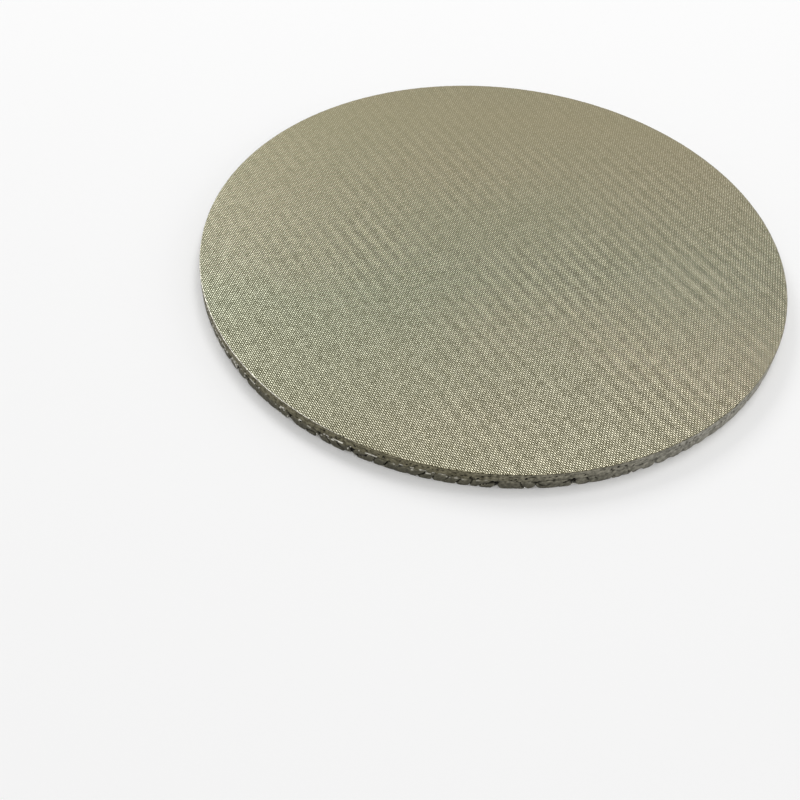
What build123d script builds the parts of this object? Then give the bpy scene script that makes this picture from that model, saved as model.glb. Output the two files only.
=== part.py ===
from build123d import *
import math
import os

# Sintered mesh filter plate: woven wire layers rolled and bonded into one stiff round plate.
# Millimetres, +Z up. The plate lies on its coarse layer with the fine filtering face up.
# The origin is on the plate's axis, at the level of the lowest wire crests.

# Driving dimensions
plate_diameter = 86.0
support_pitch = 2.2
support_wire = 0.95
support_thickness = 1.46
opening_depth = 1.0
dutch_weave_thickness = 0.80
spreader_thickness = 0.22
filter_thickness = 0.10
protective_thickness = 0.22

# Sizes that follow
plate_radius = plate_diameter / 2
blank_margin = 0.5

# A coarse wire passes over one crossing and dives under the next, so its visible stretch, the
# knuckle, is as long as two pitches less a wire and as wide as the wire
knuckle_half_length = support_pitch - support_wire / 2
knuckle_half_width = support_wire / 2

# The flanks of a knuckle are planes that fall to the middle of the four openings around it.
# This is the depth at which they meet the neighbouring knuckles
saddle_depth = opening_depth / (
    support_pitch / (2 * knuckle_half_length) + support_pitch / (2 * knuckle_half_width)
)


def woven_layer(bottom, thickness):
    """A fine woven layer: its wires are packed so close that its solid is a plain round sheet."""
    with BuildPart() as layer:
        with BuildSketch(Plane.XY.offset(bottom)):
            Circle(plate_radius)
        extrude(amount=thickness)
    return layer


def knuckle_flanks(column, row):
    """The four sloping sides of the knuckle at one crossing, as seen from below.

    Warp wires run along X and pass below the weft at every other crossing, weft wires along Y
    at those between, which is a plain weave.
    """
    warp_on_top = (column + row) % 2 == 0
    reach_x = knuckle_half_length if warp_on_top else knuckle_half_width
    reach_y = knuckle_half_width if warp_on_top else knuckle_half_length
    x = column * support_pitch
    y = row * support_pitch
    flanks = []
    for side_x in (-1, 1):
        for side_y in (-1, 1):
            crest = (x, y, 0)
            saddle_x = (x + side_x * reach_x, y, saddle_depth)
            opening = (
                x + side_x * support_pitch / 2,
                y + side_y * support_pitch / 2,
                opening_depth,
            )
            saddle_y = (x, y + side_y * reach_y, saddle_depth)
            flanks.append(Face(Wire.make_polygon([crest, saddle_x, opening, saddle_y])))
    return flanks


def weave_relief():
    """The crimped coarse weave as one sheet of knuckles and openings, a little wider than the plate."""
    reach = plate_radius + knuckle_half_length
    crossings = math.ceil(reach / support_pitch)
    flanks = []
    for column in range(-crossings, crossings + 1):
        for row in range(-crossings, crossings + 1):
            if math.hypot(column, row) * support_pitch < reach:
                flanks += knuckle_flanks(column, row)
    return Shell(flanks)


# Coarse plain-weave layer that carries the plate: a round blank cut along the woven relief
with BuildPart() as support_blank:
    with BuildSketch(Plane.XY.offset(-blank_margin)):
        Circle(plate_radius)
    extrude(amount=support_thickness + blank_margin)

support_pieces = support_blank.part.solid().split(weave_relief(), Keep.ALL)

with BuildPart() as support_mesh:
    add(support_pieces.sort_by(Axis.Z)[-1])

# Plain Dutch weave that stiffens the fine layers over the coarse openings
dutch_weave_bottom = support_thickness
dutch_weave_mesh = woven_layer(dutch_weave_bottom, dutch_weave_thickness)

# Fine square mesh that spreads the flow behind the filter layer
spreader_bottom = dutch_weave_bottom + dutch_weave_thickness
spreader_mesh = woven_layer(spreader_bottom, spreader_thickness)

# The finest layer, which does the filtering
filter_bottom = spreader_bottom + spreader_thickness
filter_mesh = woven_layer(filter_bottom, filter_thickness)

# Fine square mesh of the face, which guards the filter layer
protective_bottom = filter_bottom + filter_thickness
protective_mesh = woven_layer(protective_bottom, protective_thickness)

layers = {
    "support_mesh": support_mesh,
    "dutch_weave_mesh": dutch_weave_mesh,
    "spreader_mesh": spreader_mesh,
    "filter_mesh": filter_mesh,
    "protective_mesh": protective_mesh,
}

os.makedirs("parts", exist_ok=True)
for name, layer in layers.items():
    layer.part.label = name
    export_step(layer.part, f"parts/{name}.step")
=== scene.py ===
import math

import bmesh
import bpy
from mathutils import Euler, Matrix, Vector, noise


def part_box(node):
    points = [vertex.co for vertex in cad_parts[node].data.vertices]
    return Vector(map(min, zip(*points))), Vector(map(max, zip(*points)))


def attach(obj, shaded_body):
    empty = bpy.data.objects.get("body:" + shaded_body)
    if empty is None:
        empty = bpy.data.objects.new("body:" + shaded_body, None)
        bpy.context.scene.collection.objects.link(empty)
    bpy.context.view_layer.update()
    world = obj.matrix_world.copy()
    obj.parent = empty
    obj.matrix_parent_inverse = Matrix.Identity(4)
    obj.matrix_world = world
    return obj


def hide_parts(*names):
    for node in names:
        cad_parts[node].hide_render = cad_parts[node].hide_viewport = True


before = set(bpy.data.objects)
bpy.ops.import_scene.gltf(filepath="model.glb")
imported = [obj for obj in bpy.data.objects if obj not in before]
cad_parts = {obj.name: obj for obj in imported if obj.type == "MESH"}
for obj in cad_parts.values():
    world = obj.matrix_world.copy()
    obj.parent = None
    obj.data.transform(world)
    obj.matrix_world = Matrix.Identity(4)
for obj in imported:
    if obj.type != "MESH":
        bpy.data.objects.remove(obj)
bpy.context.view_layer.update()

# Sintered mesh filter plate: five woven layers of stainless wire, rolled and bonded into one
# round plate that lies on its coarse layer. Metres, +Z up, the origin on the plate's axis.
mm = 0.001

# Levels and radius come from the frame
plate_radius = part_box("protective_mesh")[1].x
floor_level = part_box("support_mesh")[0].z
support_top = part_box("support_mesh")[1].z
dutch_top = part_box("dutch_weave_mesh")[1].z
spreader_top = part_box("spreader_mesh")[1].z
filter_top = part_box("filter_mesh")[1].z
face_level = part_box("protective_mesh")[1].z

# Coarse square weave of crimped wire
coarse_pitch = 2.2 * mm
coarse_x_wire = 0.85 * mm
coarse_y_wire = 0.75 * mm

# Plain Dutch weave: 12 thick warp wires and 64 close weft wires to the inch
inch = 25.4 * mm
dutch_warp_pitch = inch / 12
dutch_weft_pitch = inch / 64
dutch_warp_wire = 0.50 * mm
dutch_weft_wire = 0.38 * mm

# The cut fuses the ends of the wires into a skin round the rim
skin = 0.1 * mm

# Fine square weave of the face: 100 wires to the inch both ways
face_pitch = inch / 100
face_wire = 0.114 * mm


def add_node(tree, kind, inputs=None, **settings):
    """Adds one node. Inputs are values, or the sockets they are linked from."""
    made = tree.nodes.new(kind)
    for name, value in settings.items():
        setattr(made, name, value)
    live = [socket for socket in made.inputs if socket.enabled]
    for name, value in (inputs or {}).items():
        socket = live[name] if isinstance(name, int) else next(s for s in live if s.name == name)
        if isinstance(value, bpy.types.NodeSocket):
            tree.links.new(value, socket)
        else:
            socket.default_value = value
    results = [socket for socket in made.outputs if socket.enabled]
    return results[0] if len(results) == 1 else made


def linear(hex_colour):
    """An sRGB hex colour as the linear RGBA that the sockets take."""
    channels = [int(hex_colour[i : i + 2], 16) / 255 for i in (1, 3, 5)]
    return tuple(c / 12.92 if c <= 0.04045 else ((c + 0.055) / 1.055) ** 2.4 for c in channels) + (1.0,)


def woven_wires_tree():
    """Parallel crimped wires, trimmed to the round plate and rolled flat between two levels."""
    tree = bpy.data.node_groups.new("Woven wires", "GeometryNodeTree")
    sockets = (
        ("First Wire", "NodeSocketInt"),
        ("Wire Count", "NodeSocketInt"),
        ("Pitch", "NodeSocketFloat"),
        ("Wire Diameter", "NodeSocketFloat"),
        ("Crossing Pitch", "NodeSocketFloat"),
        ("Middle Level", "NodeSocketFloat"),
        ("Crimp", "NodeSocketFloat"),
        ("Lowest Level", "NodeSocketFloat"),
        ("Highest Level", "NodeSocketFloat"),
        ("First Crossing", "NodeSocketFloat"),
        ("Play", "NodeSocketFloat"),
        ("Spread", "NodeSocketFloat"),
        ("Trim Radius", "NodeSocketFloat"),
        ("Sides", "NodeSocketInt"),
        ("Rings", "NodeSocketInt"),
        ("Turn", "NodeSocketFloat"),
        ("Material", "NodeSocketMaterial"),
    )
    for name, kind in sockets:
        tree.interface.new_socket(name, in_out="INPUT", socket_type=kind)
    tree.interface.new_socket("Geometry", in_out="OUTPUT", socket_type="NodeSocketGeometry")
    given = tree.nodes.new("NodeGroupInput").outputs

    # One point for each wire, in a row across the plate
    row_start = add_node(
        tree, "ShaderNodeMath", {0: given["First Wire"], 1: given["Pitch"]}, operation="MULTIPLY"
    )
    row = add_node(
        tree,
        "GeometryNodeMeshLine",
        {
            "Count": given["Wire Count"],
            "Start Location": add_node(tree, "ShaderNodeCombineXYZ", {"Y": row_start}),
            "Offset": add_node(tree, "ShaderNodeCombineXYZ", {"Y": given["Pitch"]}),
        },
    )
    place_in_row = add_node(tree, "GeometryNodeInputIndex")
    number = add_node(
        tree, "ShaderNodeMath", {0: place_in_row, 1: given["First Wire"]}, operation="ADD"
    )
    numbered = add_node(tree, "GeometryNodeCaptureAttribute", {"Geometry": row})
    numbered.capture_items.new("FLOAT", "Number")
    tree.links.new(number, numbered.inputs["Number"])
    wire_number = numbered.outputs["Number"]

    # A straight wire along X, as long as the plate is wide
    width = add_node(tree, "ShaderNodeMath", {0: given["Trim Radius"], 1: 2}, operation="MULTIPLY")
    wire_radius = add_node(
        tree, "ShaderNodeMath", {0: given["Wire Diameter"], 1: 0.5}, operation="MULTIPLY"
    )
    wire = add_node(
        tree,
        "GeometryNodeMeshCylinder",
        {
            "Vertices": given["Sides"],
            "Side Segments": given["Rings"],
            "Radius": wire_radius,
            "Depth": width,
        },
    )
    lying = add_node(
        tree,
        "GeometryNodeTransform",
        {"Geometry": wire.outputs["Mesh"], "Rotation": (0, math.pi / 2, 0)},
    )
    copies = add_node(
        tree,
        "GeometryNodeInstanceOnPoints",
        {"Points": numbered.outputs["Geometry"], "Instance": lying},
    )
    wires = add_node(tree, "GeometryNodeRealizeInstances", {"Geometry": copies})

    # Each wire lies a little off its place in the row, and ends at the cut rim
    position = add_node(tree, "GeometryNodeInputPosition")
    along, across, up = add_node(tree, "ShaderNodeSeparateXYZ", {0: position}).outputs
    shift = add_node(
        tree, "FunctionNodeRandomValue", {"Min": -1, "Max": 1, "ID": wire_number, "Seed": 3}
    )
    play = add_node(tree, "ShaderNodeMath", {0: shift, 1: given["Play"]}, operation="MULTIPLY")
    side = add_node(tree, "ShaderNodeMath", {0: across, 1: play}, operation="ADD")
    side_squared = add_node(tree, "ShaderNodeMath", {0: side, 1: 2}, operation="POWER")
    radius_squared = add_node(
        tree, "ShaderNodeMath", {0: given["Trim Radius"], 1: 2}, operation="POWER"
    )
    rest = add_node(tree, "ShaderNodeMath", {0: radius_squared, 1: side_squared}, operation="SUBTRACT")
    room = add_node(tree, "ShaderNodeMath", {0: rest, 1: 0}, operation="MAXIMUM")
    reach = add_node(tree, "ShaderNodeMath", {0: room}, operation="SQRT")
    back_reach = add_node(tree, "ShaderNodeMath", {0: reach, 1: -1}, operation="MULTIPLY")
    trimmed = add_node(tree, "ShaderNodeClamp", {"Value": along, "Min": back_reach, "Max": reach})

    # It waves over one crossing wire and under the next, neighbours the other way about
    crossing = add_node(
        tree, "ShaderNodeMath", {0: trimmed, 1: given["Crossing Pitch"]}, operation="DIVIDE"
    )
    counted = add_node(tree, "ShaderNodeMath", {0: crossing, 1: wire_number}, operation="ADD")
    started = add_node(
        tree, "ShaderNodeMath", {0: counted, 1: given["First Crossing"]}, operation="ADD"
    )
    turned = add_node(tree, "ShaderNodeMath", {0: started, 1: math.pi}, operation="MULTIPLY")
    wave = add_node(tree, "ShaderNodeMath", {0: turned}, operation="COSINE")
    level = add_node(
        tree,
        "ShaderNodeMath",
        {0: wave, 1: given["Crimp"], 2: given["Middle Level"]},
        operation="MULTIPLY_ADD",
    )

    # A vertical section across a sloping wire is taller than the wire is thick
    rise = add_node(tree, "ShaderNodeMath", {0: turned}, operation="SINE")
    steepness = add_node(tree, "ShaderNodeMath", {0: given["Crimp"], 1: math.pi}, operation="MULTIPLY")
    steepest = add_node(
        tree, "ShaderNodeMath", {0: steepness, 1: given["Crossing Pitch"]}, operation="DIVIDE"
    )
    slope = add_node(tree, "ShaderNodeMath", {0: rise, 1: steepest}, operation="MULTIPLY")
    slope_squared = add_node(tree, "ShaderNodeMath", {0: slope, 1: 2}, operation="POWER")
    stretched = add_node(tree, "ShaderNodeMath", {0: slope_squared, 1: 1}, operation="ADD")
    stretch = add_node(tree, "ShaderNodeMath", {0: stretched}, operation="SQRT")
    height = add_node(tree, "ShaderNodeMath", {0: up, 1: stretch, 2: level}, operation="MULTIPLY_ADD")
    pressed = add_node(
        tree,
        "ShaderNodeClamp",
        {"Value": height, "Min": given["Lowest Level"], "Max": given["Highest Level"]},
    )

    # Where the rolls pressed a crown flat, the wire spread sideways
    bottom = add_node(tree, "ShaderNodeMath", {0: level, 1: wire_radius}, operation="SUBTRACT")
    too_low = add_node(
        tree, "ShaderNodeMath", {0: given["Lowest Level"], 1: bottom}, operation="SUBTRACT"
    )
    rolled_off = add_node(tree, "ShaderNodeMath", {0: too_low, 1: 0}, operation="MAXIMUM")
    rolled_share = add_node(tree, "ShaderNodeMath", {0: rolled_off, 1: wire_radius}, operation="DIVIDE")
    widening = add_node(
        tree, "ShaderNodeMath", {0: rolled_share, 1: given["Spread"], 2: 1}, operation="MULTIPLY_ADD"
    )
    own_place = add_node(
        tree, "ShaderNodeMath", {0: wire_number, 1: given["Pitch"]}, operation="MULTIPLY"
    )
    from_middle = add_node(tree, "ShaderNodeMath", {0: across, 1: own_place}, operation="SUBTRACT")
    middle = add_node(tree, "ShaderNodeMath", {0: own_place, 1: play}, operation="ADD")
    spread_side = add_node(
        tree, "ShaderNodeMath", {0: from_middle, 1: widening, 2: middle}, operation="MULTIPLY_ADD"
    )
    below = add_node(
        tree, "ShaderNodeMath", {0: given["Lowest Level"], 1: height}, operation="SUBTRACT"
    )
    below_in_mm = add_node(tree, "ShaderNodeMath", {0: below, 1: mm}, operation="DIVIDE")
    marked = add_node(
        tree,
        "GeometryNodeStoreNamedAttribute",
        {"Geometry": wires, "Name": "rolled", "Value": below_in_mm},
        data_type="FLOAT",
    )
    bent = add_node(
        tree,
        "GeometryNodeSetPosition",
        {
            "Geometry": marked,
            "Position": add_node(
                tree, "ShaderNodeCombineXYZ", {"X": trimmed, "Y": spread_side, "Z": pressed}
            ),
        },
    )

    # Rings past the rim have closed up there, so they are merged into the cut end
    merged = add_node(tree, "GeometryNodeMergeByDistance", {"Geometry": bent, "Distance": 0.001 * mm})
    round_faces = wire.outputs["Side"]
    smooth = add_node(
        tree, "GeometryNodeSetShadeSmooth", {"Geometry": merged, "Shade Smooth": round_faces}
    )
    turn = add_node(tree, "ShaderNodeCombineXYZ", {"Z": given["Turn"]})
    placed = add_node(tree, "GeometryNodeTransform", {"Geometry": smooth, "Rotation": turn})
    finished = add_node(
        tree, "GeometryNodeSetMaterial", {"Geometry": placed, "Material": given["Material"]}
    )
    add_node(tree, "NodeGroupOutput", {"Geometry": finished})
    return tree


def woven_wires(name, tree, material, **sizes):
    """One set of parallel wires as a plain mesh, from the tree's named inputs."""
    holder = bpy.data.objects.new(name, bpy.data.meshes.new(name))
    bpy.context.scene.collection.objects.link(holder)
    modifier = holder.modifiers.new("Wires", "NODES")
    modifier.node_group = tree
    values = {key.replace("_", " ").title(): value for key, value in sizes.items()}
    values["Material"] = material
    values["Trim Radius"] = plate_radius - skin
    for socket in tree.interface.items_tree:
        if socket.in_out == "INPUT":
            modifier[socket.identifier] = values[socket.name]
    bpy.context.view_layer.update()
    evaluated = holder.evaluated_get(bpy.context.evaluated_depsgraph_get())
    mesh = bpy.data.meshes.new_from_object(evaluated)
    holder.modifiers.clear()
    holder.data = mesh
    mesh.name = name
    return holder


def new_material(name):
    """An empty node material and its tree."""
    material = bpy.data.materials.new(name)
    material.use_nodes = True
    material.node_tree.nodes.clear()
    return material, material.node_tree


def rolled_wire_cloth():
    """The face: 316L stainless wire cloth, rolled smooth and sintered in vacuum.

    To the eye: matt warm grey with an olive cast. The lengthwise wires stand higher, so their knuckles
    are rolled into short dashes that lean a little; a painted highlight makes the dashes bright, and
    painted shade makes the openings between them dark.
    """
    material, tree = new_material("Rolled stainless wire cloth")
    place = add_node(tree, "ShaderNodeTexCoord").outputs["Object"]
    face_wire_share = 0.5 * face_wire / face_pitch
    cells = add_node(tree, "ShaderNodeVectorMath", {0: place, 1: [face_pitch] * 3}, operation="DIVIDE")
    wrapped = add_node(
        tree, "ShaderNodeVectorMath", {0: cells, 1: [0.5] * 3, 2: [-0.5] * 3}, operation="WRAP"
    )
    x_from, y_from, z_from = add_node(tree, "ShaderNodeSeparateXYZ", {0: wrapped}).outputs
    lean = 0.18
    x_slanted = add_node(
        tree, "ShaderNodeMath", {0: y_from, 1: lean, 2: x_from}, operation="MULTIPLY_ADD"
    )
    slanted = add_node(tree, "ShaderNodeCombineXYZ", {"X": x_slanted, "Y": y_from, "Z": z_from})
    from_wire = add_node(tree, "ShaderNodeVectorMath", {0: slanted}, operation="ABSOLUTE")
    half_turns = add_node(tree, "ShaderNodeVectorMath", {0: cells, "Scale": math.pi}, operation="SCALE")
    waves = add_node(tree, "ShaderNodeVectorMath", {0: half_turns}, operation="COSINE")
    sides = add_node(tree, "ShaderNodeVectorMath", {0: waves}, operation="SIGN")
    x_wave, y_wave, _ = add_node(tree, "ShaderNodeSeparateXYZ", {0: waves}).outputs
    x_side, y_side, _ = add_node(tree, "ShaderNodeSeparateXYZ", {0: sides}).outputs
    from_y_wire, from_x_wire, _ = add_node(tree, "ShaderNodeSeparateXYZ", {0: from_wire}).outputs

    # Height of each set of wires over the lowest crossing, in wire spacings
    squares = add_node(tree, "ShaderNodeVectorMath", {0: from_wire, 1: from_wire}, operation="MULTIPLY")
    left = add_node(
        tree, "ShaderNodeVectorMath", {0: [face_wire_share**2] * 3, 1: squares}, operation="SUBTRACT"
    )
    clipped = add_node(tree, "ShaderNodeVectorMath", {0: left, 1: [0.0] * 3}, operation="MAXIMUM")
    bulge = add_node(tree, "ShaderNodeVectorMath", {0: clipped, 1: [0.5] * 3}, operation="POWER")
    y_bulge, x_bulge, _ = add_node(tree, "ShaderNodeSeparateXYZ", {0: bulge}).outputs
    heights = []
    for wave, side, sign, wire_bulge, distance in (
        (y_wave, x_side, 1, y_bulge, from_y_wire),
        (x_wave, y_side, -1, x_bulge, from_x_wire),
    ):
        crimp = add_node(tree, "ShaderNodeMath", {0: wave, 1: side}, operation="MULTIPLY")
        lifted = add_node(
            tree,
            "ShaderNodeMath",
            {0: crimp, 1: sign * face_wire_share, 2: face_wire_share},
            operation="MULTIPLY_ADD",
        )
        top = add_node(tree, "ShaderNodeMath", {0: lifted, 1: wire_bulge}, operation="ADD")
        inside = add_node(
            tree, "ShaderNodeMath", {0: distance, 1: face_wire_share}, operation="LESS_THAN"
        )
        heights.append(add_node(tree, "ShaderNodeMath", {0: top, 1: inside}, operation="MULTIPLY"))
    y_height, x_height = heights
    height = add_node(tree, "ShaderNodeMath", {0: y_height, 1: x_height}, operation="MAXIMUM")

    # Colours: painted shade in the openings, the wire sides, and painted highlights on the rolled
    # knuckles of both sets
    low_share = add_node(
        tree,
        "ShaderNodeMapRange",
        {"Value": height, "From Min": 0.05, "From Max": 0.4},
        interpolation_type="SMOOTHSTEP",
    )
    # Painted shade: the openings and the lowest wire sides are coloured dark
    shaded_body = add_node(
        tree,
        "ShaderNodeMix",
        {"Factor": low_share, "A": linear("#13120a"), "B": linear("#4f4c2e")},
        data_type="RGBA",
    )
    x_knuckle = add_node(
        tree,
        "ShaderNodeMapRange",
        {"Value": x_height, "From Min": 0.4, "From Max": 0.66, "To Max": 0.42},
        interpolation_type="SMOOTHSTEP",
    )
    y_knuckle = add_node(
        tree,
        "ShaderNodeMapRange",
        {"Value": y_height, "From Min": 0.3, "From Max": 0.56},
        interpolation_type="SMOOTHSTEP",
    )
    knuckle = add_node(tree, "ShaderNodeMath", {0: x_knuckle, 1: y_knuckle}, operation="MAXIMUM")
    centred = add_node(tree, "ShaderNodeVectorMath", {0: cells, 1: [0.5] * 3}, operation="ADD")
    crossing = add_node(tree, "ShaderNodeVectorMath", {0: centred}, operation="FLOOR")
    chance = add_node(
        tree, "ShaderNodeTexWhiteNoise", {"Vector": crossing}, noise_dimensions="2D"
    ).outputs["Value"]
    uneven = add_node(tree, "ShaderNodeMapRange", {"Value": chance, "To Min": 0.6, "To Max": 1.25})
    worn = add_node(
        tree, "ShaderNodeTexNoise", {"Vector": place, "Scale": 1 / (1.6 * mm), "Detail": 3.0}
    )
    worn_share = add_node(
        tree,
        "ShaderNodeMapRange",
        {"Value": worn.outputs["Fac"], "From Min": 0.3, "From Max": 0.7, "To Min": 0.88, "To Max": 1.1},
    )
    bright = add_node(tree, "ShaderNodeMath", {0: uneven, 1: worn_share}, operation="MULTIPLY")
    shown = add_node(tree, "ShaderNodeMath", {0: knuckle, 1: bright}, operation="MULTIPLY")
    # Painted highlight: the knuckles are mixed towards a near-white colour, unevenly from one crossing
    # to the next
    meshed = add_node(
        tree,
        "ShaderNodeMix",
        {"Factor": shown, "A": shaded_body, "B": linear("#f4f1e5")},
        data_type="RGBA",
    )

    # The painted highlights and shade of the mesh are faded towards one side, where the light shows
    # less of its contrast
    towards_flat_lit_side = (0.51, 0.86, 0)
    across_flat_lit_side = add_node(
        tree, "ShaderNodeVectorMath", {0: place, 1: towards_flat_lit_side}, operation="DOT_PRODUCT"
    )
    painted_light_contrast = add_node(
        tree,
        "ShaderNodeMapRange",
        {"Value": across_flat_lit_side, "From Min": -5 * mm, "From Max": 32 * mm, "To Min": 1.0, "To Max": 0.3},
    )
    colour = add_node(
        tree,
        "ShaderNodeMix",
        {"Factor": painted_light_contrast, "A": linear("#888570"), "B": meshed},
        data_type="RGBA",
    )

    # Painted light and shade of faint bands, where the face sinks a little between the stiff wires
    # below, broken up along their length
    x_place = add_node(tree, "ShaderNodeSeparateXYZ", {0: place}).outputs["X"]
    wobble = add_node(
        tree, "ShaderNodeTexNoise", {"Vector": place, "Scale": 1 / (2.5 * mm), "Detail": 2.0}
    )
    band_turn = add_node(
        tree, "ShaderNodeMath", {0: x_place, 1: 2 * math.pi / dutch_warp_pitch}, operation="MULTIPLY"
    )
    band_place = add_node(
        tree,
        "ShaderNodeMath",
        {0: wobble.outputs["Fac"], 1: 1.2, 2: band_turn},
        operation="MULTIPLY_ADD",
    )
    band_wave = add_node(tree, "ShaderNodeMath", {0: band_place}, operation="COSINE")
    patches = add_node(
        tree, "ShaderNodeTexNoise", {"Vector": place, "Scale": 1 / (18 * mm), "Detail": 1.0}
    )
    band_depth = add_node(
        tree,
        "ShaderNodeMapRange",
        {
            "Value": patches.outputs["Fac"],
            "From Min": 0.35,
            "From Max": 0.65,
            "To Min": 0.04,
            "To Max": 0.16,
        },
    )
    # The painted band shading is weakest towards the left side of the cloth
    band_shading_side = add_node(
        tree,
        "ShaderNodeMapRange",
        {"Value": x_place, "From Min": -36 * mm, "From Max": -14 * mm, "To Min": 0.3},
    )
    band_share = add_node(tree, "ShaderNodeMath", {0: painted_light_contrast, 1: band_shading_side}, operation="MULTIPLY")
    shown_depth = add_node(tree, "ShaderNodeMath", {0: band_depth, 1: band_share}, operation="MULTIPLY")
    band = add_node(
        tree, "ShaderNodeMath", {0: band_wave, 1: shown_depth, 2: 1.0}, operation="MULTIPLY_ADD"
    )

    # Heat of sintering leaves the cloth olive along one strip, and warmer away from it
    across_strip = (0.36, 0.93, 0)
    strip_offset = 8 * mm
    from_axis = add_node(
        tree, "ShaderNodeVectorMath", {0: place, 1: across_strip}, operation="DOT_PRODUCT"
    )
    from_strip = add_node(tree, "ShaderNodeMath", {0: from_axis, 1: strip_offset}, operation="ADD")
    off_strip = add_node(tree, "ShaderNodeMath", {0: from_strip}, operation="ABSOLUTE")
    clouds = add_node(
        tree, "ShaderNodeTexNoise", {"Vector": place, "Scale": 1 / (30 * mm), "Detail": 1.0}
    )
    warm_shares = [
        add_node(
            tree,
            "ShaderNodeMapRange",
            {"Value": value, "From Min": low, "From Max": high, "To Max": most},
        )
        for value, low, high, most in (
            (off_strip, 0.0, 25 * mm, 0.55),
            (x_place, -30 * mm, 30 * mm, 0.3),
            (clouds.outputs["Fac"], 0.35, 0.65, 0.2),
        )
    ]
    warm_sides = add_node(
        tree, "ShaderNodeMath", {0: warm_shares[0], 1: warm_shares[1]}, operation="ADD"
    )
    cast_share = add_node(tree, "ShaderNodeMath", {0: warm_sides, 1: warm_shares[2]}, operation="ADD")
    cast = add_node(
        tree,
        "ShaderNodeMix",
        {"Factor": cast_share, "A": linear("#e3ebdb"), "B": linear("#f9f2e4")},
        data_type="RGBA",
    )
    tinted = add_node(tree, "ShaderNodeVectorMath", {0: colour, 1: cast}, operation="MULTIPLY")
    # The colour is scaled by the painted light and shade of the bands
    band_shaded = add_node(tree, "ShaderNodeVectorMath", {0: tinted, "Scale": band}, operation="SCALE")

    # The rolls pressed the highest knuckles down to one level, in wire spacings
    rolled_level = 0.58
    pressed = add_node(tree, "ShaderNodeMath", {0: height, 1: rolled_level}, operation="MINIMUM")
    relief = add_node(
        tree, "ShaderNodeBump", {"Strength": 0.25, "Distance": face_pitch, "Height": pressed}
    )
    roughness = add_node(tree, "ShaderNodeMapRange", {"Value": knuckle, "To Min": 0.6, "To Max": 0.38})
    surface = add_node(
        tree,
        "ShaderNodeBsdfPrincipled",
        {"Base Color": band_shaded, "Metallic": 1.0, "Roughness": roughness, "Normal": relief},
    )
    add_node(tree, "ShaderNodeOutputMaterial", {"Surface": surface})
    return material


def drawn_wire(name, turned, base, streak, shade_from, shade_by):
    """Drawn stainless wire, rolled flat where it stands lowest.

    To the eye: lengthwise streaks along each wire, partly drawing lines and partly painted reflection,
    matt grey flats with painted highlights on their shoulders, and painted shade on the wires deep in
    the openings, from shade_from to shade_by mm above the rolled level.
    """
    material, tree = new_material(name)
    place = add_node(tree, "ShaderNodeTexCoord").outputs["Object"]
    turn = (0, 0, -turned)
    along = add_node(tree, "ShaderNodeMapping", {"Vector": place, "Rotation": turn})
    stretched = add_node(
        tree, "ShaderNodeVectorMath", {0: along, 1: (0.06, 1, 0)}, operation="MULTIPLY"
    )
    lines = add_node(
        tree, "ShaderNodeTexNoise", {"Vector": stretched, "Scale": 1 / (0.15 * mm), "Detail": 3.0}
    )
    line_share = add_node(
        tree, "ShaderNodeMapRange", {"Value": lines.outputs["Fac"], "From Min": 0.4, "From Max": 0.6}
    )
    # Painted reflection streaks: light and dark lines along the wire, over the real drawing lines of
    # the bump
    drawn_streak_sheen = add_node(
        tree,
        "ShaderNodeMix",
        {"Factor": line_share, "A": linear(streak), "B": linear(base)},
        data_type="RGBA",
    )

    # Painted highlights on the shoulders next to the flats, and painted shade on the metal deep in the
    # openings
    rolled = add_node(tree, "ShaderNodeAttribute", attribute_name="rolled").outputs["Fac"]
    shoulder_highlight = add_node(
        tree,
        "ShaderNodeMapRange",
        {"Value": rolled, "From Min": -0.14, "From Max": -0.02, "To Max": 0.85},
        interpolation_type="SMOOTHSTEP",
    )
    shoulder_highlighted = add_node(
        tree,
        "ShaderNodeMix",
        {"Factor": shoulder_highlight, "A": drawn_streak_sheen, "B": linear("#f1ede1")},
        data_type="RGBA",
    )
    # Painted shade: the wires darken with height above the rolled level, deep in the openings
    depth = add_node(
        tree,
        "ShaderNodeMapRange",
        {"Value": rolled, "From Min": -shade_from, "From Max": -shade_by, "To Max": 0.9},
        interpolation_type="SMOOTHSTEP",
    )
    shaded = add_node(
        tree,
        "ShaderNodeMix",
        {"Factor": depth, "A": shoulder_highlighted, "B": linear("#29261d")},
        data_type="RGBA",
    )

    # The flats are matt, with the grain of the rolls
    on_flat = add_node(
        tree,
        "ShaderNodeMapRange",
        {"Value": rolled, "From Min": -0.01, "From Max": 0.012},
        interpolation_type="SMOOTHSTEP",
    )
    grain = add_node(
        tree, "ShaderNodeTexNoise", {"Vector": place, "Scale": 1 / (0.3 * mm), "Detail": 5.0}
    )
    grain_share = add_node(
        tree, "ShaderNodeMapRange", {"Value": grain.outputs["Fac"], "From Min": 0.3, "From Max": 0.7}
    )
    flat = add_node(
        tree,
        "ShaderNodeMix",
        {"Factor": grain_share, "A": linear("#858070"), "B": linear("#a9a393")},
        data_type="RGBA",
    )
    colour = add_node(
        tree, "ShaderNodeMix", {"Factor": on_flat, "A": shaded, "B": flat}, data_type="RGBA"
    )
    roughness = add_node(tree, "ShaderNodeMapRange", {"Value": on_flat, "To Min": 0.25, "To Max": 0.5})
    relief = add_node(
        tree, "ShaderNodeBump", {"Strength": 0.5, "Distance": 0.01 * mm, "Height": lines.outputs["Fac"]}
    )
    surface = add_node(
        tree,
        "ShaderNodeBsdfPrincipled",
        {"Base Color": colour, "Metallic": 1.0, "Roughness": roughness, "Normal": relief},
    )
    add_node(tree, "ShaderNodeOutputMaterial", {"Surface": surface})
    return material


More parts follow.
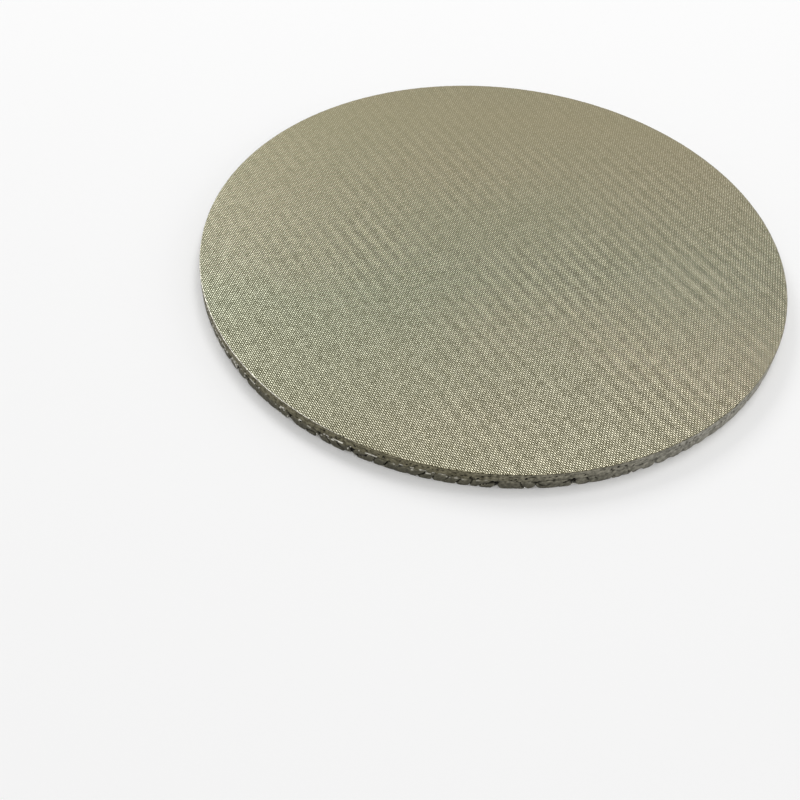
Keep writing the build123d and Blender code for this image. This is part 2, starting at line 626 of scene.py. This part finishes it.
def cut_edge():
    """The rim: layers of bonded wire, cut through and left as they came off the tool.

    To the eye: matt grey and mottled; painted shade makes it browner and darker on one side and dark in
    its pits and crevices, and painted glints make a few bright specks and nicks on the ends of the
    coarse wires.
    """
    material, tree = new_material("Cut edge of bonded wires")
    place = add_node(tree, "ShaderNodeTexCoord").outputs["Object"]
    mottle = add_node(
        tree, "ShaderNodeTexNoise", {"Vector": place, "Scale": 1 / (0.45 * mm), "Detail": 6.0}
    )
    share = add_node(
        tree, "ShaderNodeMapRange", {"Value": mottle.outputs["Fac"], "From Min": 0.35, "From Max": 0.65}
    )
    shaded_brown = add_node(
        tree,
        "ShaderNodeMix",
        {"Factor": share, "A": linear("#5a5644"), "B": linear("#8f8a73")},
        data_type="RGBA",
    )
    lit_grey = add_node(
        tree,
        "ShaderNodeMix",
        {"Factor": share, "A": linear("#7b796f"), "B": linear("#b3b0a5")},
        data_type="RGBA",
    )

    # Painted shade and reflection: one side is darker and browner, the other lighter and greyer
    shaded_side = -28 * mm
    lit_side = 2 * mm
    x_place, _, level = add_node(tree, "ShaderNodeSeparateXYZ", {0: place}).outputs
    lit_share = add_node(
        tree, "ShaderNodeMapRange", {"Value": x_place, "From Min": shaded_side, "From Max": lit_side}
    )
    metal = add_node(
        tree, "ShaderNodeMix", {"Factor": lit_share, "A": shaded_brown, "B": lit_grey}, data_type="RGBA"
    )

    # Painted shade darkens the ends of the coarse wires towards the shaded side, and painted glints
    # make bright specks on them
    in_coarse = add_node(
        tree,
        "ShaderNodeMapRange",
        {"Value": level, "From Min": 1.1 * mm, "From Max": support_top, "To Min": 1.0, "To Max": 0.0},
    )
    shaded_side_share = add_node(
        tree,
        "ShaderNodeMapRange",
        {"Value": x_place, "From Min": shaded_side, "From Max": lit_side, "To Min": 0.6, "To Max": 0.0},
    )
    low_shade_share = add_node(tree, "ShaderNodeMath", {0: in_coarse, 1: shaded_side_share}, operation="MULTIPLY")
    low_shaded = add_node(
        tree,
        "ShaderNodeMix",
        {"Factor": low_shade_share, "A": metal, "B": linear("#5c5b54")},
        data_type="RGBA",
    )
    # Painted glints: small bright specks scattered over the coarse wire ends
    glint_cells = add_node(tree, "ShaderNodeTexVoronoi", {"Vector": place, "Scale": 1 / (0.9 * mm)})
    chance = add_node(tree, "ShaderNodeSeparateXYZ", {0: glint_cells.outputs["Color"]}).outputs["X"]
    glint_size = add_node(
        tree, "ShaderNodeMapRange", {"Value": chance, "From Min": 0.75, "From Max": 1.0, "To Max": 0.2}
    )
    inside = add_node(
        tree, "ShaderNodeMath", {0: glint_cells.outputs["Distance"], 1: glint_size}, operation="LESS_THAN"
    )
    spread_glint = add_node(tree, "ShaderNodeMath", {0: inside, 1: in_coarse}, operation="MULTIPLY")
    burr_glint = add_node(tree, "ShaderNodeAttribute", attribute_name="burr_glint").outputs["Fac"]
    glint = add_node(tree, "ShaderNodeMath", {0: spread_glint, 1: burr_glint}, operation="MAXIMUM")
    glinting = add_node(
        tree,
        "ShaderNodeMix",
        {"Factor": glint, "A": low_shaded, "B": linear("#ece9de")},
        data_type="RGBA",
    )
    # Painted shade in the pits, slits, crevices and openings
    hollow_shade = add_node(tree, "ShaderNodeAttribute", attribute_name="hollow_shade").outputs["Fac"]
    colour = add_node(
        tree,
        "ShaderNodeMix",
        {"Factor": hollow_shade, "A": glinting, "B": linear("#17150f")},
        data_type="RGBA",
    )
    roughness = add_node(tree, "ShaderNodeMapRange", {"Value": glint, "To Min": 0.55, "To Max": 0.25})
    relief = add_node(
        tree,
        "ShaderNodeBump",
        {"Strength": 0.8, "Distance": 0.05 * mm, "Height": mottle.outputs["Fac"]},
    )
    surface = add_node(
        tree,
        "ShaderNodeBsdfPrincipled",
        {"Base Color": colour, "Metallic": 1.0, "Roughness": roughness, "Normal": relief},
    )
    add_node(tree, "ShaderNodeOutputMaterial", {"Surface": surface})
    return material


def painted_light_burr():
    """The face's edge, where the cut turned the wires down, with painted light along it.

    To the eye: a thin broken line along the edge, of painted highlight on one side, and elsewhere of
    grey with painted shade in its darker parts.
    """
    material, tree = new_material("Burr of the face with painted light")
    place = add_node(tree, "ShaderNodeTexCoord").outputs["Object"]
    ends = add_node(
        tree, "ShaderNodeTexNoise", {"Vector": place, "Scale": 1 / (0.28 * mm), "Detail": 1.0}
    )
    share = add_node(
        tree, "ShaderNodeMapRange", {"Value": ends.outputs["Fac"], "From Min": 0.42, "From Max": 0.54}
    )
    plain_and_shaded = add_node(
        tree,
        "ShaderNodeMix",
        {"Factor": share, "A": linear("#34301f"), "B": linear("#8a8570")},
        data_type="RGBA",
    )
    x_place = add_node(tree, "ShaderNodeSeparateXYZ", {0: place}).outputs["X"]
    # Painted highlight along the edge on one side
    painted_glint_side = add_node(
        tree,
        "ShaderNodeMapRange",
        {"Value": x_place, "From Min": -42 * mm, "From Max": -35 * mm, "To Min": 1.0, "To Max": 0.0},
    )
    lit_ends = add_node(
        tree, "ShaderNodeMapRange", {"Value": ends.outputs["Fac"], "From Min": 0.3, "From Max": 0.42}
    )
    bright = add_node(tree, "ShaderNodeMath", {0: lit_ends, 1: painted_glint_side}, operation="MULTIPLY")
    colour = add_node(
        tree, "ShaderNodeMix", {"Factor": bright, "A": plain_and_shaded, "B": linear("#f3f0e4")}, data_type="RGBA"
    )
    surface = add_node(
        tree, "ShaderNodeBsdfPrincipled", {"Base Color": colour, "Metallic": 1.0, "Roughness": 0.3}
    )
    add_node(tree, "ShaderNodeOutputMaterial", {"Surface": surface})
    return material


def lathed(name, rings, relief, materials, hollow_centre=False):
    """A closed round body from rings of radius, level, segments and material number.

    A ring may have as many segments as the one before, twice as many, or half as many.
    relief moves each point of it, and gives the share of painted shade in a hollow and of painted glint
    on a burr, both from 0 to 1.
    """
    shape = bmesh.new()
    hollow_shade = shape.verts.layers.float.new("hollow_shade")
    burr_glint = shape.verts.layers.float.new("burr_glint")

    def add_point(point):
        place, hollow_shade_share, burr_glint_share = relief(point)
        vert = shape.verts.new(place)
        vert[hollow_shade] = hollow_shade_share
        vert[burr_glint] = burr_glint_share
        return vert

    loops = []
    for radius, level, segments, _ in rings:
        angles = [2 * math.pi * step / segments for step in range(segments)]
        places = [Vector((radius * math.cos(a), radius * math.sin(a), level)) for a in angles]
        loops.append([add_point(place) for place in places])
    seams = list(zip(loops, loops[1:], [ring[3] for ring in rings[1:]]))
    if hollow_centre:
        seams.append((loops[-1], loops[0], rings[0][3]))
    faces = []
    for inner, outer, slot in seams:
        wide, narrow = (outer, inner) if len(outer) > len(inner) else (inner, outer)
        for step in range(len(wide)):
            ahead = (step + 1) % len(wide)
            if len(wide) == len(narrow):
                faces.append(((narrow[step], wide[step], wide[ahead], narrow[ahead]), slot))
                continue
            near = narrow[step // 2]
            next_near = narrow[(step // 2 + 1) % len(narrow)]
            if step % 2:
                faces.append(((near, wide[step], next_near), slot))
                faces.append(((wide[step], wide[ahead], next_near), slot))
            else:
                faces.append(((near, wide[step], wide[ahead]), slot))
    if not hollow_centre:
        for (_, level, _, slot), loop in ((rings[0], loops[0]), (rings[-1], loops[-1])):
            centre = add_point(Vector((0, 0, level)))
            for near, ahead in zip(loop, loop[1:] + loop[:1]):
                faces.append(((centre, near, ahead), slot))
    for corners, slot in faces:
        face = shape.faces.new(corners)
        face.material_index = slot
        face.smooth = True
    bmesh.ops.recalc_face_normals(shape, faces=shape.faces)
    mesh = bpy.data.meshes.new(name)
    shape.to_mesh(mesh)
    shape.free()
    for material in materials:
        mesh.materials.append(material)
    made = bpy.data.objects.new(name, mesh)
    bpy.context.scene.collection.objects.link(made)
    return made


# Rings of the face: the outermost has 21 * 2**7 segments, and the count halves up to seven times
# towards the middle
most_halvings = 7
rim_segments = 21 * 2**most_halvings
ring_spacing = 0.42 * mm

# Coarse wires: middle level and crimp of both sets. The crosswise ones stand lowest, so the
# rolls pressed their crowns flat.
coarse_x_level = 0.63 * mm
coarse_x_crimp = 0.43 * mm
coarse_y_level = 0.68 * mm
coarse_y_crimp = 0.28 * mm


def even_segments(radius):
    """Segments for a ring so that its steps are about as long as the rings are apart."""
    halvings = max(0, math.floor(math.log2(rim_segments * ring_spacing / (2 * math.pi * radius))))
    return rim_segments // 2 ** min(most_halvings, halvings)


def smooth_step(value, low, high):
    """0 below low and 1 above high, with a soft rise between."""
    share = min(1.0, max(0.0, (value - low) / (high - low)))
    return share * share * (3 - 2 * share)


# The cut smeared the ends of the coarse wires into wide low lumps. They stand between the wires'
# own level and one low level, and are squarer in plan than an ellipse.
lump_reach = 0.9 * mm
lump_height = 0.66 * mm
lump_level = 0.26 * mm
lump_follows_wire = 0.5
lump_squareness = 2.5

# The lower edge of the rim: its level between the lumps, and the notches where a seam opens
between_lumps = 0.34 * mm
notch_level = 0.15 * mm
notch_height = 0.25 * mm

# What the cut left in the wall: how far apart or how long, and how deep
coarse_grain = 0.3 * mm
fine_grain = 0.12 * mm
grain_depth = 0.02 * mm
pit_spacing = 0.62 * mm
pit_depth = 0.18 * mm
slit_length = 0.9 * mm
slit_depth = 0.15 * mm
slit_wander = 0.08 * mm
crevice_length = 1.1 * mm
crevice_depth = 0.25 * mm
nick_length = 0.5 * mm
nick_ledge = 0.2 * mm
lip_length = 0.6 * mm
lump_rounding = 0.06 * mm
tuck_depth = 0.04 * mm

# The cut smeared the lumps together on one side: how far, and from where to where it comes on
most_shut = 0.8
shut_from = -10 * mm
shut_to = 2 * mm

# Painted glints on the burrs are full on one side, and fade out between these two places
all_glints_to = -40 * mm
glints_to = -15 * mm


def coarse_lumps(x, y):
    """The nearest wire end of both coarse sets: how far out in its lump a place is, and its level."""
    for along, across, middle, crimp, first in (
        (x, y, coarse_x_level, coarse_x_crimp, 1),
        (-y, x, coarse_y_level, coarse_y_crimp, 0),
    ):
        number = round(across / coarse_pitch)
        level = middle + crimp * math.cos(math.pi * (along / coarse_pitch + number + first))
        out = (abs(across - number * coarse_pitch) / lump_reach) ** lump_squareness
        yield out, lump_level + lump_follows_wire * level


def smeared_shut(x):
    """How far the cut closed the crevices: not at all on one side, and mostly on the other."""
    return most_shut * smooth_step(x, shut_from, shut_to)


def coarse_ends(point):
    """How far a place on the cut lies out of the nearest lump, and how open the seam beside it is."""
    lumps = coarse_lumps(point.x, point.y)
    nearest, other = sorted(out + ((point.z - level) / lump_height) ** 2 for out, level in lumps)
    opened = smooth_step(noise.noise(point / crevice_length + Vector((9, 4, 2))), -0.2, 0.1)
    opened *= 1 - smeared_shut(point.x)
    return nearest, opened * (1 - smooth_step(other - nearest, 0.05, 0.35))


def coarse_underside(x, y):
    """How low the smeared ends of the coarse wires reach at a place on the rim."""
    lowest = between_lumps * (1 - smeared_shut(x))
    for out, level in coarse_lumps(x, y):
        if out < 1:
            lowest = min(lowest, level - lump_height * (1 - out) ** 0.5)
    _, seam = coarse_ends(Vector((x, y, notch_level)))
    return max(floor_level, lowest) + notch_height * seam


def wall_relief(point):
    """The cut wall: grain all over, pits in the Dutch weave, and crevices round the coarse wires."""
    radius = math.hypot(point.x, point.y)
    if radius < plate_radius - 0.5 * skin:
        return point, 0.0, 0.0
    grain = noise.noise(point / coarse_grain) + 0.5 * noise.noise(point / fine_grain)
    depth = grain_depth * (1 + grain)

    # Gaps between the Dutch wires, cut open as pits
    in_dutch = smooth_step(point.z, support_top - 0.1 * mm, support_top + 0.1 * mm)
    in_dutch *= 1 - smooth_step(point.z, dutch_top - 0.12 * mm, dutch_top + 0.04 * mm)
    nearest = noise.voronoi(point / pit_spacing)[0][0]
    pit = in_dutch * (1 - smooth_step(nearest, 0.18, 0.36))

    # Short slits where two layers meet
    turn = math.atan2(point.y, point.x)
    slit = 0.0
    for seam in (support_top, dutch_top):
        lengthwise = Vector((plate_radius * turn / slit_length, seam * 1000, 0))
        wander = slit_wander * noise.noise(lengthwise)
        near = 1 - smooth_step(abs(point.z - seam - wander), 0.03 * mm, 0.1 * mm)
        opened = smooth_step(noise.noise(lengthwise * 1.7 + Vector((7, 0, 3))), 0.05, 0.2)
        slit = max(slit, near * opened)

    # Nicks along the joint over the coarse wires, with painted glints on one side
    painted_glint_side = 1 - smooth_step(point.x, all_glints_to, glints_to)
    on_joint = 1 - smooth_step(abs(point.z - support_top), 0.05 * mm, 0.16 * mm)
    nicks = noise.noise(Vector((point.x, point.y, 0)) / nick_length + Vector((2, 6, 0.5)))
    burr_glint = on_joint * smooth_step(nicks, 0.05, 0.2) * painted_glint_side

    # Crevices between the coarse wires, and burrs with painted glints beside them on the same side
    crevice = 0.0
    if point.z < support_top:
        outside, seam = coarse_ends(point)
        crevice = max(smooth_step(outside, 0.95, 1.2), seam)
        crevice *= (1 - smooth_step(point.z, 1.3 * mm, 1.45 * mm)) * (1 - smeared_shut(point.x))
        on_lip = smooth_step(outside, 0.5, 0.7) * (1 - smooth_step(outside, 0.85, 0.95)) * (1 - seam)
        lips = noise.noise(point / lip_length + Vector((3, 1, 5)))
        burr_glint = max(burr_glint, on_lip * smooth_step(lips, 0.18, 0.3) * painted_glint_side)
        depth += lump_rounding * min(1.0, outside) ** 2
    # Painted shade: how dark the pits, slits and crevices are coloured, none where a glint is painted
    hollow_shade = max(pit, slit, crevice) * (1 - burr_glint)
    depth += max(pit_depth * pit, slit_depth * slit, crevice_depth * crevice)
    depth *= 1 - burr_glint
    shrink = 1 - depth / radius
    return Vector((point.x * shrink, point.y * shrink, point.z)), hollow_shade, burr_glint


# How far the face sinks between the stiff wires, and the teeth that the cut left along its edge
face_sink = 0.012 * mm
tooth_length = 0.22 * mm
tooth_depth = 0.06 * mm


def face_relief(point):
    """The face sinks a little between the stiff wires of the Dutch weave below it."""
    radius = math.hypot(point.x, point.y)
    if point.z > filter_top + 0.1 * mm:
        band = 0.5 - 0.5 * math.cos(2 * math.pi * point.x / dutch_warp_pitch)
        point = point - Vector((0, 0, face_sink * band))
    if radius < plate_radius - 0.5 * skin:
        return point, 0.0, 0.0
    teeth = noise.noise(Vector((point.x, point.y, 0)) / tooth_length)
    shrink = 1 - tooth_depth * (1 + teeth) / radius
    # Painted shade: a dark line on the wall just below the face's edge
    shade_below_edge = 0.5 * (1 - smooth_step(point.z, filter_top, face_level - 0.05 * mm))
    return Vector((point.x * shrink, point.y * shrink, point.z)), shade_below_edge, 0.0


def core_relief(point):
    """The cut wall of the core, set back over the nicks with painted glints; its underside carries
    painted shade.
    """
    place, hollow_shade, burr_glint = wall_relief(point)
    set_back = 1 - nick_ledge * burr_glint / plate_radius
    place = Vector((place.x * set_back, place.y * set_back, place.z))
    inner = math.hypot(point.x, point.y) < plate_radius - 0.25 * mm
    return place, 0.85 if inner else hollow_shade, burr_glint


def ring_relief(point):
    """The fused ends of the coarse wires: the lower edge follows the wires."""
    lowest = coarse_underside(point.x, point.y)
    share = point.z / support_top
    lifted = Vector((point.x, point.y, lowest + (support_top - lowest) * share))
    place, hollow_shade, burr_glint = wall_relief(lifted)
    if math.hypot(point.x, point.y) > plate_radius - 0.5 * skin:
        tuck = 1 - tuck_depth * (1 - smooth_step(share, 0.0, 0.22)) / plate_radius
        place = Vector((place.x * tuck, place.y * tuck, place.z))
    return place, hollow_shade, burr_glint


wire_cloth = rolled_wire_cloth()
edge_material = cut_edge()
burr_material = painted_light_burr()
quarter = math.pi / 2
coarse_x_material = drawn_wire(
    "Drawn stainless wire, crosswise", 0.0, "#c4beae", "#6d6757", 0.08, 0.38
)
coarse_y_material = drawn_wire(
    "Drawn stainless wire, lengthwise", quarter, "#b9b4a5", "#4f4a39", 0.35, 0.85
)
dutch_x_material = drawn_wire(
    "Thin drawn wire, crosswise", 0.0, "#8a8472", "#4b463a", 0.1, 0.4
)
dutch_y_material = drawn_wire(
    "Thick drawn wire, lengthwise", quarter, "#8a8472", "#4b463a", 0.1, 0.4
)

wires_tree = woven_wires_tree()
coarse_sizes = dict(
    first_wire=-19,
    wire_count=39,
    pitch=coarse_pitch,
    crossing_pitch=coarse_pitch,
    lowest_level=floor_level,
    highest_level=support_top,
    play=0.02 * mm,
    spread=0.45,
    sides=12,
    rings=234,
)
coarse_x_wires = woven_wires(
    "coarse_crosswise_wires",
    wires_tree,
    coarse_x_material,
    wire_diameter=coarse_x_wire,
    middle_level=coarse_x_level,
    crimp=coarse_x_crimp,
    first_crossing=1.0,
    turn=0.0,
    **coarse_sizes,
)
coarse_y_wires = woven_wires(
    "coarse_lengthwise_wires",
    wires_tree,
    coarse_y_material,
    wire_diameter=coarse_y_wire,
    middle_level=coarse_y_level,
    crimp=coarse_y_crimp,
    first_crossing=0.0,
    turn=quarter,
    **coarse_sizes,
)
dutch_middle = 0.5 * (support_top + dutch_top)
dutch_crimp = 0.5 * (dutch_top - support_top - dutch_weft_wire)
dutch_x_wires = [
    woven_wires(
        f"dutch_crosswise_wires_{part}",
        wires_tree,
        dutch_x_material,
        first_wire=first,
        wire_count=count,
        pitch=dutch_weft_pitch,
        wire_diameter=dutch_weft_wire,
        crossing_pitch=dutch_warp_pitch,
        middle_level=dutch_middle,
        crimp=dutch_crimp,
        lowest_level=support_top,
        highest_level=dutch_top,
        first_crossing=0.0,
        play=0.0,
        spread=0.0,
        sides=6,
        rings=122,
        turn=0.0,
    )
    for part, first, count in (("left", 0, 108), ("right", -107, 107))
]
dutch_y_wires = woven_wires(
    "dutch_lengthwise_wires",
    wires_tree,
    dutch_y_material,
    first_wire=-20,
    wire_count=41,
    pitch=dutch_warp_pitch,
    wire_diameter=dutch_warp_wire,
    crossing_pitch=dutch_warp_pitch,
    middle_level=dutch_middle,
    crimp=0.0,
    lowest_level=support_top,
    highest_level=dutch_top,
    first_crossing=0.0,
    play=0.0,
    spread=0.0,
    sides=8,
    rings=12,
    turn=quarter,
)

# The face: even rings out to the edge, a burr that turns down, then the cut wall
ring_count = round(plate_radius / ring_spacing)
face_rings = []
for ring in range(1, ring_count):
    radius = plate_radius * ring / ring_count
    face_rings.append((radius, face_level, even_segments(radius), 0))
face_rings += [
    (plate_radius - 0.2 * mm, face_level, rim_segments // 2, 0),
    (plate_radius - 0.13 * mm, face_level, rim_segments, 0),
    (plate_radius - 0.04 * mm, face_level - 0.01 * mm, rim_segments, 1),
    (plate_radius, face_level - 0.05 * mm, rim_segments, 1),
    (plate_radius, face_level - 0.13 * mm, rim_segments, 2),
    (plate_radius, filter_top, rim_segments, 2),
]
face_materials = [wire_cloth, burr_material, edge_material]
face_sheet = lathed("face_wire_cloth", face_rings, face_relief, face_materials)


def plain_sheet(name, low, high, wall_rows):
    """A layer of which only the cut wall shows."""
    rings = [(plate_radius - skin, high, rim_segments, 0)]
    for row in range(wall_rows + 1):
        rings.append((plate_radius, high + (low - high) * row / wall_rows, rim_segments, 1))
    rings.append((plate_radius - skin, low, rim_segments, 0))
    return lathed(name, rings, wall_relief, [wire_cloth, edge_material])


filter_sheet = plain_sheet("filter_wire_cloth", spreader_top, filter_top, 1)
spreader_sheet = plain_sheet("spreader_wire_cloth", dutch_top, spreader_top, 3)

# Bonded core of the Dutch weave: its wires stand half out of the underside
core_underside = support_top + 0.18 * mm
core_rings = [(plate_radius - skin, dutch_top, rim_segments, 0)]
core_rows = 8
for row in range(core_rows + 1):
    level = dutch_top + (support_top - dutch_top) * row / core_rows
    core_rings.append((plate_radius, level, rim_segments, 0))
core_rings.append((plate_radius - 0.3 * mm, support_top, rim_segments, 0))
core_rings.append((plate_radius - 0.4 * mm, core_underside, rim_segments, 0))
dutch_core = lathed("dutch_bonded_core", core_rings, core_relief, [edge_material])

ring_width = 0.6 * mm
ring_rows = 12
ring_rings = [(plate_radius - ring_width, support_top, rim_segments, 0)]
for row in range(ring_rows + 1):
    ring_rings.append((plate_radius, support_top * (1 - row / ring_rows), rim_segments, 0))
ring_rings.append((plate_radius - 0.3 * mm, 0.0, rim_segments, 0))
ring_rings.append((plate_radius - ring_width, 0.3 * mm, rim_segments, 0))
coarse_ring = lathed("coarse_fused_rim", ring_rings, ring_relief, [edge_material], hollow_centre=True)

pieces = {
    "support_mesh": [coarse_x_wires, coarse_y_wires, coarse_ring],
    "dutch_weave_mesh": [*dutch_x_wires, dutch_y_wires, dutch_core],
    "spreader_mesh": [spreader_sheet],
    "filter_mesh": [filter_sheet],
    "protective_mesh": [face_sheet],
}
for node, made in pieces.items():
    for piece in made:
        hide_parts(node)
        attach(piece, "root")

# Pale floor, soft light and the camera at the photograph's angle
scene = bpy.context.scene
scene.view_settings.view_transform = "Standard"
world = bpy.data.worlds.new("Studio")
world.use_nodes = True
world.node_tree.nodes.clear()
scene.world = world

# The sky looks white to the camera and in the metal, and lights matt things less
white_sky = 1.0
lighting_sky = 0.4
ray = add_node(world.node_tree, "ShaderNodeLightPath").outputs
seen = add_node(
    world.node_tree,
    "ShaderNodeMath",
    {0: ray["Is Camera Ray"], 1: ray["Is Glossy Ray"]},
    operation="ADD",
)
mirrored = add_node(
    world.node_tree, "ShaderNodeMath", {0: seen, 1: ray["Is Transmission Ray"]}, operation="ADD"
)
strength = add_node(
    world.node_tree,
    "ShaderNodeMapRange",
    {"Value": mirrored, "To Min": lighting_sky, "To Max": white_sky},
)
sky = add_node(world.node_tree, "ShaderNodeBackground", {"Color": (1, 1, 1, 1), "Strength": strength})
add_node(world.node_tree, "ShaderNodeOutputWorld", {"Surface": sky})

floor_mesh = bpy.data.meshes.new("floor")
floor_shape = bmesh.new()
floor_half_side = 1.5
bmesh.ops.create_grid(floor_shape, x_segments=1, y_segments=1, size=floor_half_side)
bmesh.ops.translate(floor_shape, verts=floor_shape.verts, vec=(0, 0, floor_level))
floor_shape.to_mesh(floor_mesh)
floor_shape.free()
floor = bpy.data.objects.new("floor", floor_mesh)
scene.collection.objects.link(floor)

# The board fades to white in the distance. It can't be seen from below, and under the plate
# light passes it, so that views from below show a lit underside.
floor_material, tree = new_material("Matt white board")
seen = add_node(tree, "ShaderNodeLightPath").outputs["Is Camera Ray"]
white = add_node(tree, "ShaderNodeBsdfDiffuse", {"Color": (0.9, 0.9, 0.9, 1)})
place = add_node(tree, "ShaderNodeTexCoord").outputs["Object"]
from_axis = add_node(tree, "ShaderNodeVectorMath", {0: place}, operation="LENGTH")
far_glow = add_node(
    tree,
    "ShaderNodeMapRange",
    {"Value": from_axis, "From Min": 0.3, "From Max": 1.2, "To Min": 0.1, "To Max": 0.7},
)
seen_glow = add_node(tree, "ShaderNodeMath", {0: far_glow, 1: seen}, operation="MULTIPLY")
glow = add_node(tree, "ShaderNodeEmission", {"Color": (1, 1, 1, 1), "Strength": seen_glow})
board = add_node(tree, "ShaderNodeAddShader", {0: white, 1: glow})
covered_radius = plate_radius - 0.2 * mm
covered = add_node(tree, "ShaderNodeMath", {0: from_axis, 1: covered_radius}, operation="LESS_THAN")
not_seen = add_node(tree, "ShaderNodeMath", {0: 1.0, 1: seen}, operation="SUBTRACT")
passing = add_node(tree, "ShaderNodeMath", {0: covered, 1: not_seen}, operation="MULTIPLY")
underneath = add_node(tree, "ShaderNodeNewGeometry").outputs["Backfacing"]
clear_share = add_node(tree, "ShaderNodeMath", {0: passing, 1: underneath}, operation="MAXIMUM")
clear = add_node(tree, "ShaderNodeBsdfTransparent")
shown_board = add_node(tree, "ShaderNodeMixShader", {0: clear_share, 1: board, 2: clear})
add_node(tree, "ShaderNodeOutputMaterial", {"Surface": shown_board})
floor_mesh.materials.append(floor_material)


def soft_lamp(name, place, power, size):
    """A square softbox that points at the plate."""
    lamp = bpy.data.lights.new(name, "AREA")
    lamp.energy = power
    lamp.size = size
    holder = bpy.data.objects.new(name, lamp)
    holder.location = place
    holder.rotation_mode = "QUATERNION"
    holder.rotation_quaternion = (-Vector(place)).to_track_quat("-Z", "Y")
    scene.collection.objects.link(holder)


soft_lamp("high_light", (0.38, 0.18, 0.80), 1.8, 0.35)
soft_lamp("left_light", (0.04, 0.75, 0.55), 2.2, 0.35)
soft_lamp("overhead_light", (-0.1, -0.1, 0.9), 1.7, 0.6)
soft_lamp("side_light", (0.7, -0.5, 0.35), 0.6, 0.4)
soft_lamp("under_light", (0.3, -0.2, -0.7), 2.0, 0.4)

camera_data = bpy.data.cameras.new("camera")
camera_data.sensor_width = 36
camera_data.lens = 47.25
camera_data.shift_x = 0.03
camera_data.clip_start = 0.005
camera = bpy.data.objects.new("camera", camera_data)
scene.collection.objects.link(camera)
camera_place = Vector((-0.0763, -0.0954, 0.1040))
camera_aim = Vector((-0.0302, -0.0187, 0.0028))
camera.location = camera_place
camera.rotation_mode = "QUATERNION"
level_view = (camera_aim - camera_place).to_track_quat("-Z", "Y")
camera_tilt = math.radians(2.06)
camera.rotation_quaternion = level_view @ Euler((0, 0, camera_tilt)).to_quaternion()
scene.camera = camera
